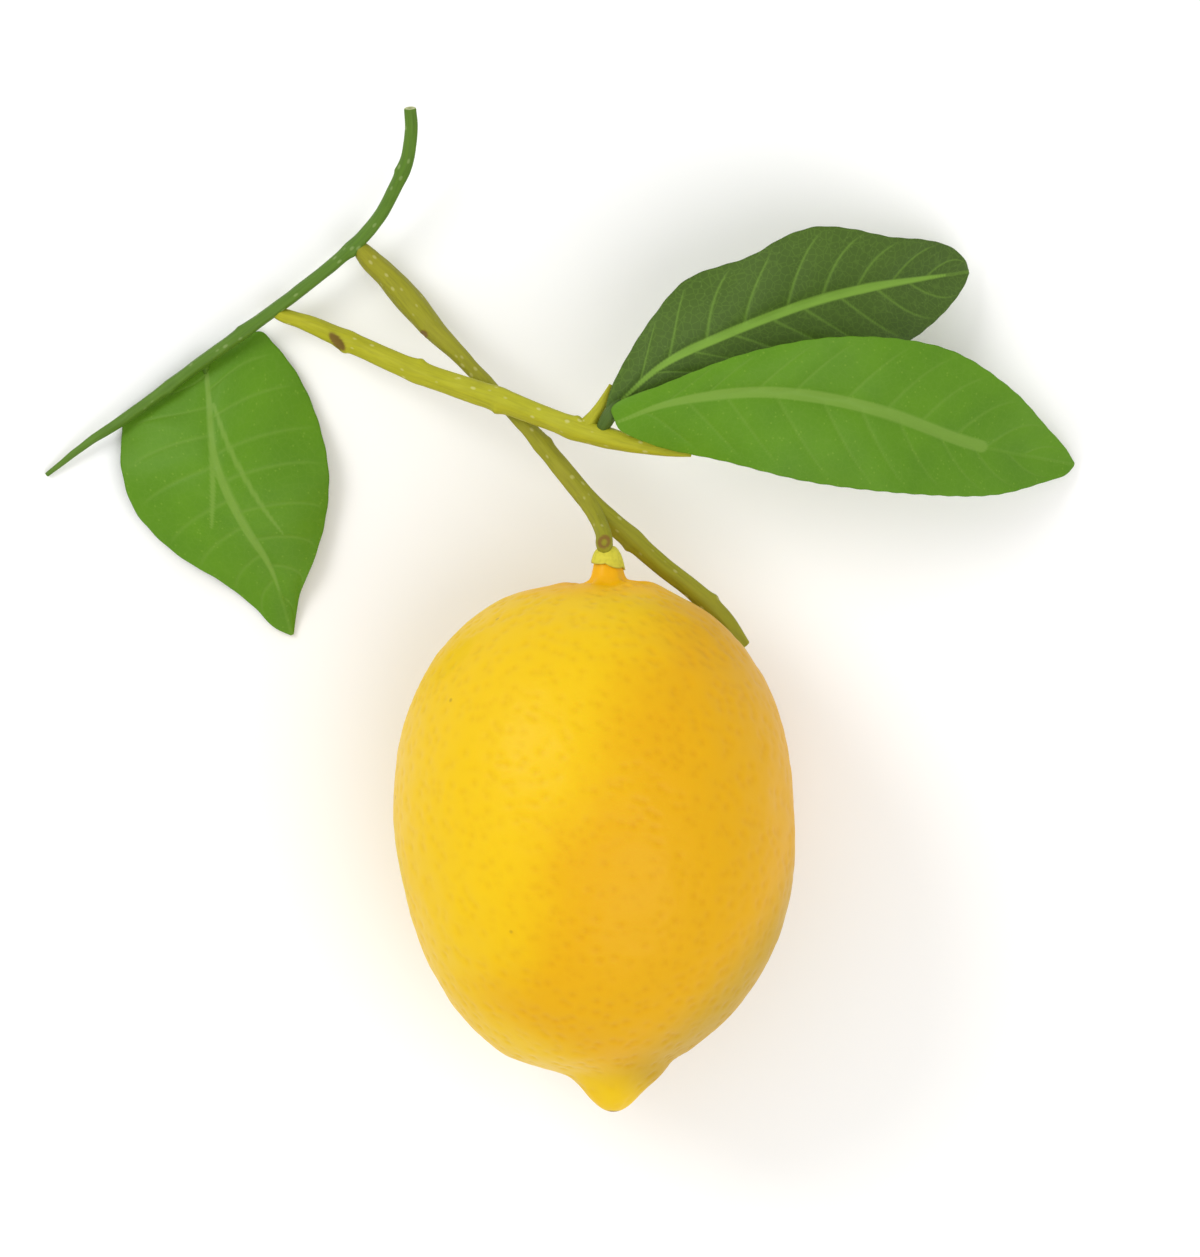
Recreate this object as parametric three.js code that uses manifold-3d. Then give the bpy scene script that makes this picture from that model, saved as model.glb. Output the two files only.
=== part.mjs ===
// A lemon as picked, on its cut sprig: the fruit with its neck and nipple, the calyx, three stems and three
// leaves. Millimetres, +Z up. The sprig lies on a table at z = 0. The origin is the middle of the flat spot
// that the fruit rests on, +Y runs along the fruit's axis to its stem end, and +X runs to the two leaves on
// the right.
import * as THREE from 'three';
import { mergeVertices } from 'three/addons/utils/BufferGeometryUtils.js';
import Module from 'manifold-3d';

const wasm = await Module();
wasm.setup();

const fruit = {
  radius: 31.1,
  axisHeight: 30.5,        // a little less than the radius, which leaves the flat spot
  stemHalf: 37.0,          // centre to the shoulder round the neck
  stemPower: 2.25,         // above 2 the shoulder is squarer than an ellipse
  tipHalf: 40.4,           // centre to the foot of the nipple
  tipPower: 2.04,
  nippleHeight: 4.9,
  nippleAngle: 7.0,        // degrees from the axis over which the nipple falls away
  neckFoot: [2.95, 37.2],  // radius and height on the axis
  neckTop: [2.45, 38.8],
  neckShift: 2.2,          // the neck and the nipple sit a little to the +X side of the axis
  nippleShift: 2.8,
  shiftFull: 6,            // rings inside this radius are shifted fully
  shiftNone: 14,           // and rings outside this one not at all
};

const table = { width: 120, depth: 20 };   // what lies below z = 0 is cut off the fruit to make its flat spot

const calyxProfile = [[2.55, 39.1], [2.4, 40.2], [2.05, 41.4], [1.75, 42.2]];

// Stems: points along the middle of the stem, each [x, y, z, radius].
const fruitingRoute = [
  [-36.2, 88.5, 3.9, 1.3], [-34.6, 86.7, 4.6, 1.5], [-32.4, 84.4, 5.6, 1.75], [-28.7, 80.5, 7.3, 2.1],
  [-26.5, 78, 8.4, 2], [-24.6, 75.7, 9.3, 1.7], [-21.4, 72.6, 10.8, 1.3], [-18, 69, 12.4, 1.1],
  [-14.5, 65.4, 14.2, 1.15], [-9.6, 60.1, 17, 1.3], [-4.1, 53.5, 21, 1.55], [-1.3, 50.1, 23.2, 1.6],
  [1.2, 47.5, 24.3, 1.7], [5.3, 44.1, 24, 1.6], [10.3, 39.7, 23, 1.5], [16, 35.2, 21.5, 1.5],
  [20, 31.2, 20.2, 1.6], [23, 27, 18.8, 1.4],
];
const stalkRoute = [
  [-1.2, 50, 23.2, 1.3], [0.2, 47.4, 26.3, 1.25], [1.2, 45.4, 28.8, 1.2], [1.9, 43.8, 30.2, 1.15],
  [2.2, 42.6, 30.5, 1.1],
];
const leafyRoute = [
  [-48.9, 78.5, 3, 1.05], [-46.5, 77.9, 3.9, 1.05], [-43.6, 76.75, 4.9, 1.35], [-35.6, 73.2, 8.6, 1.6],
  [-27.4, 69.6, 13, 1.7], [-19, 66.7, 16.7, 1.85], [-14.8, 65.3, 18.2, 1.85], [-6.6, 62.1, 21, 1.7],
  [-2.4, 60.6, 22.6, 1.65], [1.9, 59.4, 23.8, 1.6], [6.3, 58.3, 24.3, 1.3], [10.6, 57.5, 24.2, 0.95],
  [15, 56.6, 23.8, 0.5],
];
const spurRoute = [[-1.4, 61.1, 22.9, 1.25], [0.7, 63.6, 23.1, 0.9], [2.6, 67, 23.6, 0.35]];
const shootRoute = [
  [-28.5, 110.4, 13.6, 0.95], [-28.3, 107.2, 12.6, 1], [-29.1, 102.1, 10.8, 1.05], [-30.9, 98.1, 9.2, 1.05],
  [-33.4, 93.5, 7.6, 1.05], [-36.9, 89.5, 6.5, 1.05], [-41.5, 85.5, 5.8, 1], [-47.7, 80.7, 5.3, 1],
  [-59.7, 72, 4.5, 1], [-72.9, 62.4, 3.2, 0.85], [-78.4, 58.8, 2.2, 0.65], [-85, 53.7, 0.7, 0.38],
];

// Leaves: the midrib and both edges run from the same base to the same tip, each through [x, y, z] points.
const leafThickness = 0.8;
const leafEndHalfWidth = 0.4;
const leafLeft = {
  base: [-60.4, 71.2, 1.6],
  tip: [-46.9, 28.7, 0.7],
  midrib: [[-59.9, 66, 3.4], [-59, 56.8, 6.2], [-57, 51, 6.8], [-54.1, 45.3, 6.2], [-50.2, 39, 4]],
  left: [[-52.4, 75.8, 1.6], [-50.4, 74.6, 1.7], [-44.5, 64.8, 2.6], [-41.4, 53.3, 3.2], [-43.6, 40.7, 3],
    [-46.2, 33.5, 1.6]],
  right: [[-67, 66.6, 1.4], [-72.9, 62.2, 1.2], [-73.2, 54, 2.4], [-67.8, 43.9, 2.8], [-57.5, 37, 2.4],
    [-50.5, 31.2, 1.2]],
  stalk: [[-60.6, 71.7, 2.6, 0.55], [-60.3, 69.6, 2.3, 0.6], [-60, 66.6, 3, 0.5]],
};
const leafDark = {
  base: [1.8, 62.7, 25.4],
  tip: [58.4, 85.2, 3.2],
  midrib: [[10.8, 70.5, 26], [20.4, 75.3, 25.2], [29.5, 79, 22.6], [40.2, 82, 17.5], [50, 84, 10]],
  left: [[5.2, 71.4, 26.5], [9.2, 77.7, 27], [14.8, 83.8, 26.9], [24.6, 87.4, 25.4], [30.5, 90.6, 23.7],
    [37, 91.8, 21.4], [45, 90.5, 16.8], [52.4, 89.9, 11], [57.2, 87.6, 5.4]],
  right: [[6, 64.8, 25.4], [18, 69.1, 26], [32, 71.9, 22.5], [45, 73.2, 16.5], [53.5, 77.8, 9.5],
    [57.8, 82.8, 4]],
  stalk: [[1.9, 61.3, 24.7, 0.95], [3.4, 64.3, 25.5, 0.95], [6, 66.8, 25.8, 0.6]],
};
const leafRight = {
  base: [3.7, 61.9, 27.2],
  tip: [74.8, 55.2, 1.2],
  midrib: [[11.8, 64.6, 29.4], [24.6, 66.3, 30.4], [34.5, 65.6, 28.7], [45.2, 63.2, 24.9], [59.1, 58.3, 15]],
  left: [[3.3, 63.5, 27.3], [10.8, 67.3, 29.4], [24.7, 72.4, 32], [39.1, 74.7, 30.5], [54.6, 72.9, 23],
    [64.7, 66.8, 15], [71.6, 59.6, 6.2]],
  right: [[4.4, 60.7, 27.2], [9.7, 58.2, 27.4], [20, 55.9, 28.6], [33.2, 52.7, 28], [50.9, 50.7, 19.5],
    [62.6, 50.8, 11], [70.9, 53, 4]],
  stalk: [[4.6, 61.1, 25.7, 0.7], [5.6, 61.9, 26.6, 0.7], [9.5, 63.4, 28.4, 0.5]],
};

const fruitSides = 40;
const calyxSides = 20;
const stemSides = 10;
const stemStepsPerSpan = 2;
const leafSteps = 18;
const leafColumns = 6;     // an even number, so the midrib has a row of vertices

function toSolid(geometry) {
  const bare = geometry.clone();
  bare.deleteAttribute('normal');
  bare.deleteAttribute('uv');
  const merged = mergeVertices(bare, 1e-4);
  const vertProperties = new Float32Array(merged.attributes.position.array);
  const triVerts = new Uint32Array(merged.index.array);
  return new wasm.Manifold(new wasm.Mesh({ numProp: 3, vertProperties, triVerts }));
}

function toGeometry(solid) {
  const mesh = solid.getMesh();
  const geometry = new THREE.BufferGeometry();
  geometry.setAttribute('position', new THREE.BufferAttribute(new Float32Array(mesh.vertProperties), 3));
  geometry.setIndex(new THREE.BufferAttribute(new Uint32Array(mesh.triVerts), 1));
  geometry.computeVertexNormals();
  return geometry;
}

function makeNode(name, geometry, color, roughness) {
  const node = new THREE.Mesh(geometry, new THREE.MeshStandardMaterial({ color, roughness, metalness: 0 }));
  node.name = name;
  return node;
}

function moveVertices(geometry, place) {
  const position = geometry.attributes.position;
  const vertex = new THREE.Vector3();
  for (let i = 0; i < position.count; i += 1) {
    vertex.fromBufferAttribute(position, i);
    position.setXYZ(i, ...place(vertex).toArray());
  }
  return geometry;
}

// Distance from the fruit's centre to its skin at an angle from the stem end: two half superellipses of one
// radius, with the nipple as a smooth bump round the blossom end.
function skinDistance(angle) {
  const towardStem = Math.cos(angle) > 0;
  const half = towardStem ? fruit.stemHalf : fruit.tipHalf;
  const power = towardStem ? fruit.stemPower : fruit.tipPower;
  const alongShare = Math.abs(Math.cos(angle)) / half;
  const acrossShare = Math.sin(angle) / fruit.radius;
  const body = (alongShare ** power + acrossShare ** power) ** (-1 / power);
  const fromTip = 180 - THREE.MathUtils.radToDeg(angle);
  return body + fruit.nippleHeight * Math.exp(-((fromTip / fruit.nippleAngle) ** 2));
}

function axisShift(radius, alongAxis) {
  const shift = alongAxis > 0 ? fruit.neckShift : fruit.nippleShift;
  return shift * (1 - THREE.MathUtils.smoothstep(radius, fruit.shiftFull, fruit.shiftNone));
}

// Rings are closest together round the neck and the nipple, where the skin bends most.
const profileAngles = [
  7, 12, 18, 25, 33, 41, 50, 59, 68, 77, 86, 95, 104, 113, 122, 131, 139, 147, 154, 160, 165, 169, 172,
  174.5, 177,
];

function fruitProfile() {
  const points = [
    new THREE.Vector2(0, fruit.neckTop[1]),
    new THREE.Vector2(...fruit.neckTop),
    new THREE.Vector2(...fruit.neckFoot),
  ];
  for (const degrees of profileAngles) {
    const angle = THREE.MathUtils.degToRad(degrees);
    const distance = skinDistance(angle);
    points.push(new THREE.Vector2(distance * Math.sin(angle), distance * Math.cos(angle)));
  }
  points.push(new THREE.Vector2(0, -skinDistance(Math.PI)));
  return points.reverse();
}

function turned(profile, sides) {
  const geometry = new THREE.LatheGeometry(profile, sides);
  return moveVertices(geometry, (vertex) => {
    const radius = Math.hypot(vertex.x, vertex.z);
    const shift = axisShift(radius, vertex.y);
    return new THREE.Vector3(vertex.x + shift, vertex.y, vertex.z + fruit.axisHeight);
  });
}

function makeLemon() {
  const body = toSolid(turned(fruitProfile(), fruitSides));
  const below = new THREE.BoxGeometry(table.width, table.width, table.depth);
  below.translate(0, 0, -table.depth / 2);
  return toGeometry(body.subtract(toSolid(below)));
}

function makeCalyx() {
  const profile = calyxProfile.map(([radius, y]) => new THREE.Vector2(radius, y));
  const low = new THREE.Vector2(0, calyxProfile[0][1]);
  const high = new THREE.Vector2(0, calyxProfile.at(-1)[1]);
  return turned([low, ...profile, high], calyxSides);
}

// A cylinder whose axis is bent onto the smooth curve through the route, with the route's radii.
function stemSolid(route) {
  const curve = new THREE.CatmullRomCurve3(route.map(([x, y, z]) => new THREE.Vector3(x, y, z)));
  const spans = route.length - 1;
  const straight = new THREE.CylinderGeometry(1, 1, 1, stemSides, spans * stemStepsPerSpan);
  const upward = new THREE.Vector3(0, 0, 1);
  return toSolid(moveVertices(straight, (vertex) => {
    const t = THREE.MathUtils.clamp(vertex.y + 0.5, 0, 1);
    const before = Math.min(Math.floor(t * spans), spans - 1);
    const radius = THREE.MathUtils.lerp(route[before][3], route[before + 1][3], t * spans - before);
    const forward = curve.getTangent(t);
    const side = forward.clone().cross(upward).normalize();
    const top = side.clone().cross(forward);
    return curve.getPoint(t).addScaledVector(side, vertex.x * radius).addScaledVector(top, vertex.z * radius);
  }));
}

function joined(...solids) {
  return toGeometry(solids.reduce((whole, piece) => whole.add(piece)));
}

function edgeCurve(leaf, middle) {
  const points = [leaf.base, ...middle, leaf.tip];
  return new THREE.CatmullRomCurve3(points.map((point) => new THREE.Vector3(...point)));
}

// A flat box whose middle line follows the midrib and whose sides follow the two edges, step for step.
function bladeSolid(leaf) {
  const midrib = edgeCurve(leaf, leaf.midrib);
  const leftEdge = edgeCurve(leaf, leaf.left);
  const rightEdge = edgeCurve(leaf, leaf.right);
  const flat = new THREE.BoxGeometry(1, 1, 1, leafColumns, leafSteps, 1);
  const upward = new THREE.Vector3(0, 0, 1);
  return toSolid(moveVertices(flat, (vertex) => {
    const t = THREE.MathUtils.clamp(vertex.y + 0.5, 0, 1);
    const across = vertex.x * 2;
    const edge = across < 0 ? leftEdge : rightEdge;
    const side = midrib.getTangentAt(t).cross(upward).normalize();
    return midrib.getPointAt(t).lerp(edge.getPointAt(t), Math.abs(across))
      .addScaledVector(side, across * leafEndHalfWidth)
      .addScaledVector(upward, vertex.z * leafThickness);
  }));
}

function makeLeaf(leaf) {
  return joined(bladeSolid(leaf), stemSolid(leaf.stalk));
}

const sprig = new THREE.Group();
sprig.add(makeNode('lemon', makeLemon(), 0xf3bd07, 0.45));
sprig.add(makeNode('calyx', makeCalyx(), 0xe1d640, 0.7));
sprig.add(makeNode('fruiting_twig', joined(stemSolid(fruitingRoute), stemSolid(stalkRoute)), 0x9f9e2c, 0.65));
sprig.add(makeNode('leafy_twig', joined(stemSolid(leafyRoute), stemSolid(spurRoute)), 0xb8b728, 0.65));
sprig.add(makeNode('green_shoot', toGeometry(stemSolid(shootRoute)), 0x62842d, 0.55));
sprig.add(makeNode('leaf_left', makeLeaf(leafLeft), 0x638e20, 0.5));
sprig.add(makeNode('leaf_dark', makeLeaf(leafDark), 0x516a2b, 0.5));
sprig.add(makeNode('leaf_right', makeLeaf(leafRight), 0x638e20, 0.5));

export default sprig;
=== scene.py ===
import bpy
import numpy as np
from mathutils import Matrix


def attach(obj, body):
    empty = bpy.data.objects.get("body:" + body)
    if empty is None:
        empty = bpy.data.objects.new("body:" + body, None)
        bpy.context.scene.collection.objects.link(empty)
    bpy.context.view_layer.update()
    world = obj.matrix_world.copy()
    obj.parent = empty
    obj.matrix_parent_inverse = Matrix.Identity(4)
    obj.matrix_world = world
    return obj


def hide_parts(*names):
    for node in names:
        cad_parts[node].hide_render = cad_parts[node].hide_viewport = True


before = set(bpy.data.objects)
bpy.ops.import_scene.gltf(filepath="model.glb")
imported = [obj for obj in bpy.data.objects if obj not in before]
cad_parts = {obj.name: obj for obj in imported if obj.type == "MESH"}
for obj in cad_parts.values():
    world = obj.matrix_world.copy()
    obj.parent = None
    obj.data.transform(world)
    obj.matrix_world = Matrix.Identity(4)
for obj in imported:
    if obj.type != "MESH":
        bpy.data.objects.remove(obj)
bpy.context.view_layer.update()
print("frame loaded:", sorted(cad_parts))

mm = 0.001
upward = np.array([0.0, 0.0, 1.0])


def hexColour(text):
    # each sRGB channel turned linear: c / 12.92 near black, else ((c + 0.055) / 1.055) to the power 2.4
    channels = np.array([int(text[i:i + 2], 16) / 255 for i in (1, 3, 5)])
    linear = np.where(channels <= 0.04045, channels / 12.92, ((channels + 0.055) / 1.055) ** 2.4)
    return (*linear.tolist(), 1.0)


def smoothStep(values, low, high):
    # 0 below low, 1 above high, and the cubic 3w^2 - 2w^3 between them
    w = np.clip((values - low) / (high - low), 0, 1)
    return w * w * (3 - 2 * w)


def throughPoints(points, t):
    # centripetal Catmull-Rom: each span is a cubic whose end slopes come from the points on either side,
    # and t runs from 0 at the first point to 1 at the last, the same amount for every span
    points = np.asarray(points, float)
    padded = np.vstack([2 * points[0] - points[1], points, 2 * points[-1] - points[-2]])
    spans = len(points) - 1
    place = np.clip(t, 0, 1) * spans
    first = np.minimum(place.astype(int), spans - 1)
    w = (place - first)[:, None]
    a, b, c, d = (padded[first + k] for k in range(4))
    steps = ((b - a)[:, :3], (c - b)[:, :3], (d - c)[:, :3])
    ab, bc, cd = (np.linalg.norm(step, axis=1, keepdims=True) ** 0.5 for step in steps)
    leave = ((b - a) / ab - (c - a) / (ab + bc) + (c - b) / bc) * bc
    arrive = ((c - b) / bc - (d - b) / (bc + cd) + (d - c) / cd) * bc
    square = 3 * (c - b) - 2 * leave - arrive
    cube = 2 * (b - c) + leave + arrive
    return b + w * leave + w ** 2 * square + w ** 3 * cube


def evenSteps(points, shares):
    # the same curve at shares of its length, and that length
    dense = throughPoints(points, np.linspace(0, 1, 1500))
    steps = np.linalg.norm(np.diff(dense[:, :3], axis=0), axis=1)
    length = np.concatenate([[0], np.cumsum(steps)])
    columns = [np.interp(shares * length[-1], length, column) for column in dense.T]
    return np.column_stack(columns), length[-1]


def cellRandom(cells, seed, count):
    # random numbers that depend only on a cell's three whole-number coordinates and the seed
    table = np.random.default_rng(seed).random((4096, count))
    mixed = (cells[..., 0] * 73856093) ^ (cells[..., 1] * 19349663) ^ (cells[..., 2] * 83492791)
    return table[mixed % 4096]


def cellDistance(places, size, seed):
    # distance to the nearest of many scattered points, one in every cube of the given size, in cube sizes
    scaled = places / size
    home = np.floor(scaled).astype(np.int64)
    nearest = np.full(places.shape[:-1], 9.0)
    for offset in np.ndindex(3, 3, 3):
        cell = home + np.array(offset) - 1
        point = cell + cellRandom(cell, seed, 3)
        nearest = np.minimum(nearest, np.linalg.norm(scaled - point, axis=-1))
    return nearest


def softNoise(places, size, seed):
    # random values at the corners of cubes, blended smoothly inside them, from -1 to 1
    scaled = places / size
    home = np.floor(scaled).astype(np.int64)
    w = scaled - home
    w = w * w * (3 - 2 * w)
    total = np.zeros(places.shape[:-1])
    for offset in np.ndindex(2, 2, 2):
        corner = np.array(offset)
        share = np.prod(np.where(corner == 1, w, 1 - w), axis=-1)
        total += share * cellRandom(home + corner, seed, 1)[..., 0]
    return total * 2 - 1


def outwardNormals(rings):
    # cross product of the step from ring to ring with the step round the ring
    forward = np.gradient(rings, axis=0)
    around = np.roll(rings, -1, axis=1) - np.roll(rings, 1, axis=1)
    normal = np.cross(forward, around)
    return normal / np.maximum(np.linalg.norm(normal, axis=2, keepdims=True), 1e-9)


def addPiece(name, node, tubes, materials):
    # each tube is a grid of rings, joined ring to ring by quads and closed at both ends by a fan to a point.
    # "straight" is where its points would lie if it were straight, "marks" their shares of scar, cut or vein
    points, faces, faceMaterials, count = [], [], [], 0
    for tube in tubes:
        rows, columns = tube["rings"].shape[:2]
        index = count + np.arange(rows * columns).reshape(rows, columns)
        after = np.roll(index, -1, axis=1)
        start, end = count + rows * columns, count + rows * columns + 1
        quads = np.stack([index[:-1], index[1:], after[1:], after[:-1]], axis=-1).reshape(-1, 4)
        startFan = np.stack([np.full(columns, start), index[0], after[0]], axis=-1)
        endFan = np.stack([np.full(columns, end), after[-1], index[-1]], axis=-1)
        faces += quads.tolist() + startFan.tolist() + endFan.tolist()
        faceMaterials += [tube.get("material", 0)] * (len(quads) + 2 * columns)
        poles = np.stack([tube["rings"][0].mean(0), tube["rings"][-1].mean(0)])
        points.append(np.vstack([tube["rings"].reshape(-1, 3), poles]))
        count = end + 1
    mesh = bpy.data.meshes.new(name)
    mesh.from_pydata((np.vstack(points) * mm).tolist(), [], faces)
    mesh.polygons.foreach_set("use_smooth", np.ones(len(faces), bool))
    mesh.polygons.foreach_set("material_index", np.array(faceMaterials, np.int32))
    for key in ("straight", "marks"):
        values = []
        for tube in tubes:
            grid = tube[key].reshape(-1, 3)
            ring = tube["rings"].shape[1]
            values.append(np.vstack([grid, grid[:ring].mean(0), grid[-ring:].mean(0)]))
        layer = mesh.attributes.new(key, "FLOAT_VECTOR", "POINT")
        layer.data.foreach_set("vector", np.vstack(values).astype(np.float32).ravel())
    for material in materials:
        mesh.materials.append(material)
    mesh.update()
    piece = bpy.data.objects.new(name, mesh)
    bpy.context.scene.collection.objects.link(piece)
    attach(piece, "root")
    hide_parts(node)
    print("made", name, "with", len(faces), "faces")


def addNode(tree, kind, settings, links):
    # settings are the node's own values or its sockets' values, links give each socket what feeds it
    node = tree.nodes.new(kind)
    for key, value in settings.items():
        if isinstance(key, int) or key in node.inputs:
            node.inputs[key].default_value = value
        else:
            setattr(node, key, value)
    for key, source in links.items():
        tree.links.new(source, node.inputs[key])
    return node


def newMaterial(name, surface):
    material = bpy.data.materials.new(name)
    material.use_nodes = True
    shader = material.node_tree.nodes["Principled BSDF"]
    for socket, value in surface.items():
        shader.inputs[socket].default_value = value
    return material, material.node_tree, shader


# Lemon peel: a waxy skin grown over oil glands, so its gloss is soft and broad and dots show all over it.
peelLook = {
    # the lit-side and deep yellows are partly the peel's own hues and partly painted light: the lighter one
    # lies towards the upper left, where the key light falls
    "litSideYellow": "#e6bd08", "deep": "#dda604", "gland": "#f6eeda", "speck": "#a9801c",
    # the two yellows meet along a slanted border: how soft it is and where, in mm, and how far clouds move it
    "softness": 19.0, "crossing": 4.0, "slant": -0.45, "cloudSize": 13.0, "cloudReach": 0.9,
    "speckSize": 8.5, "speckShare": 0.6, "poreSize": 0.42, "poreDepth": 0.05,
    # painted light and shade: towards these directions the skin is painted lighter or darker, softly between
    # two distances in mm
    "sides": [
        # painted shade: darker and greyer low on one side, the side that faces away from the key light
        {"colour": "#dde9f2", "blend": "MULTIPLY", "way": (0.62, -0.57, -0.25), "from": 10.375, "to": 19.875},
        # painted light: the left of the nipple is painted the lighter yellow, as if lit, which takes the
        # painted shade off it; the neck is painted lighter to offset the shade on its steep sides
        {"colour": "#e6bd08", "blend": "MIX", "way": (-0.5, -1.0, 0.0), "from": 34.0, "to": 42.0},
        {"colour": "#ecb206", "blend": "MIX", "way": (0.0, 1.0, 0.0), "from": 33.5, "to": 37.0},
    ],
    # round one place it is still a little green, and round another lies the scar of the flower's style
    "greenPatch": {
        "colour": "#d3bb09", "place": (-30.0, -6.0, 24.0), "from": 16.0, "to": 4.0, "share": 0.5,
        "edge": "SMOOTHSTEP",
    },
    "scar": {
        "colour": "#7d5a1e", "place": (3.0, -45.1, 30.5), "from": 1.25, "to": 0.75, "share": 0.85,
        "edge": "LINEAR",
    },
}


def litAndRipeYellows(tree, place, clouds):
    # smoothStep((x + slant y + crossing) / softness + cloudReach cloud, 0, 1) mixes the two yellows, partly
    # painted light: lighter towards the upper left, where the key light falls
    look = peelLook
    softness = look["softness"] * mm
    across = addNode(tree, "ShaderNodeVectorMath", {
        "operation": "DOT_PRODUCT", 1: (1 / softness, look["slant"] / softness, 0.0),
    }, {0: place})
    shifted = addNode(tree, "ShaderNodeMath", {
        "operation": "MULTIPLY_ADD", 1: look["cloudReach"], 2: look["crossing"] / look["softness"],
    }, {0: clouds})
    summed = addNode(tree, "ShaderNodeMath", {"operation": "ADD"},
                     {0: across.outputs["Value"], 1: shifted.outputs[0]})
    lightAndRipeness = addNode(tree, "ShaderNodeMapRange", {"interpolation_type": "SMOOTHSTEP"},
                       {"Value": summed.outputs[0]})
    return addNode(tree, "ShaderNodeMix", {
        "data_type": "RGBA", 6: hexColour(look["litSideYellow"]), 7: hexColour(look["deep"]),
    }, {0: lightAndRipeness.outputs["Result"]}).outputs[2]


def paintedSideLightAndShade(tree, place, side, colour):
    # mixes a side's painted light and shade into the colour, towards its way
    reach = addNode(tree, "ShaderNodeVectorMath", {"operation": "DOT_PRODUCT", 1: side["way"]}, {0: place})
    share = addNode(tree, "ShaderNodeMapRange", {
        "interpolation_type": "SMOOTHSTEP", "From Min": side["from"] * mm, "From Max": side["to"] * mm,
    }, {"Value": reach.outputs["Value"]})
    return addNode(tree, "ShaderNodeMix", {
        "data_type": "RGBA", "blend_type": side["blend"], 7: hexColour(side["colour"]),
    }, {0: share.outputs["Result"], 6: colour}).outputs[2]


def patchColour(tree, place, patch, colour):
    gap = addNode(tree, "ShaderNodeVectorMath", {
        "operation": "DISTANCE", 1: tuple(value * mm for value in patch["place"]),
    }, {0: place})
    share = addNode(tree, "ShaderNodeMapRange", {
        "interpolation_type": patch["edge"],
        "From Min": patch["from"] * mm, "From Max": patch["to"] * mm, "To Max": patch["share"],
    }, {"Value": gap.outputs["Value"]})
    return addNode(tree, "ShaderNodeMix", {"data_type": "RGBA", 7: hexColour(patch["colour"])},
                   {0: share.outputs["Result"], 6: colour}).outputs[2]


def dotsAndSpecks(tree, place, colour):
    # a darker dot in each gland's pit, and small brown specks far apart
    look = peelLook
    marks = addNode(tree, "ShaderNodeAttribute", {"attribute_name": "marks"}, {}).outputs["Vector"]
    pits = addNode(tree, "ShaderNodeSeparateXYZ", {}, {0: marks}).outputs["X"]
    dotted = addNode(tree, "ShaderNodeMix", {
        "data_type": "RGBA", "blend_type": "MULTIPLY", 7: hexColour(look["gland"]),
    }, {0: pits, 6: colour})
    specks = addNode(tree, "ShaderNodeTexVoronoi", {"Scale": 1 / (look["speckSize"] * mm)}, {"Vector": place})
    share = addNode(tree, "ShaderNodeMapRange", {
        "From Min": 0.055, "From Max": 0.025, "To Max": look["speckShare"],
    }, {"Value": specks.outputs["Distance"]})
    return addNode(tree, "ShaderNodeMix", {"data_type": "RGBA", 7: hexColour(look["speck"])},
                   {0: share.outputs["Result"], 6: dotted.outputs[2]}).outputs[2]


def makePeel():
    look = peelLook
    material, tree, shader = newMaterial("freshLemonPeel", {
        "Roughness": 0.4, "IOR": 1.45, "Specular IOR Level": 0.2, "Subsurface Weight": 0.1,
        "Subsurface Radius": (1.0, 0.6, 0.12), "Subsurface Scale": 2.5 * mm,
    })
    place = addNode(tree, "ShaderNodeTexCoord", {}, {}).outputs["Object"]
    clouds = addNode(tree, "ShaderNodeTexNoise", {"Scale": 1 / (look["cloudSize"] * mm), "Detail": 3.0},
                     {"Vector": place}).outputs["Fac"]
    colour = litAndRipeYellows(tree, place, clouds)
    for side in look["sides"]:
        colour = paintedSideLightAndShade(tree, place, side, colour)
    colour = patchColour(tree, place, look["greenPatch"], colour)
    colour = dotsAndSpecks(tree, place, colour)
    colour = patchColour(tree, place, look["scar"], colour)
    tree.links.new(colour, shader.inputs["Base Color"])

    roughness = addNode(tree, "ShaderNodeMapRange", {
        "From Min": 0.3, "From Max": 0.7, "To Min": 0.36, "To Max": 0.5,
    }, {"Value": clouds})
    tree.links.new(roughness.outputs["Result"], shader.inputs["Roughness"])
    pores = addNode(tree, "ShaderNodeTexNoise", {"Scale": 1 / (look["poreSize"] * mm), "Detail": 2.0},
                    {"Vector": place})
    bump = addNode(tree, "ShaderNodeBump", {"Strength": 0.35, "Distance": look["poreDepth"] * mm},
                   {"Height": pores.outputs["Fac"]})
    tree.links.new(bump.outputs["Normal"], shader.inputs["Normal"])
    return material


# Young citrus bark: thin and ridged lengthwise, so it is matte and streaked, with pale breathing pores, brown
# cork on scars, and pale wood round a darker pith where it was cut. The greenest is also the smoothest.
barks = {
    "olive": {
        "roughness": 0.65, "skin": "#91901f", "streak": "#7f7d1d", "flush": "#97932c", "pore": "#b3af64",
        "scar": "#7c5f24", "wood": "#b9b17c", "pith": "#978b4c",
    },
    "young": {
        "roughness": 0.6, "skin": "#a9a81f", "streak": "#96941d", "flush": "#b0ae2f", "pore": "#c6c376",
        "scar": "#6f581e", "wood": "#c4c089", "pith": "#a19859",
    },
    "green": {
        "roughness": 0.5, "skin": "#54771f", "streak": "#49691b", "flush": "#5e8029", "pore": "#809854",
        "scar": "#615d26", "wood": "#b0b680", "pith": "#8b9558",
    },
    # painted shade: a darker copy of the green bark, for the stalk of the dark leaf, which lies in shade
    "shadedGreen": {
        "roughness": 0.5, "skin": "#4a6325", "streak": "#425a20", "flush": "#51692b", "pore": "#718554",
        "scar": "#615d26", "wood": "#b0b680", "pith": "#8b9558",
    },
}
barkGrain = {
    "streakWidth": 0.35, "streakStretch": 0.09, "cloudSize": 6.0, "poreSize": 1.5, "poreStretch": 0.55,
}


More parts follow.
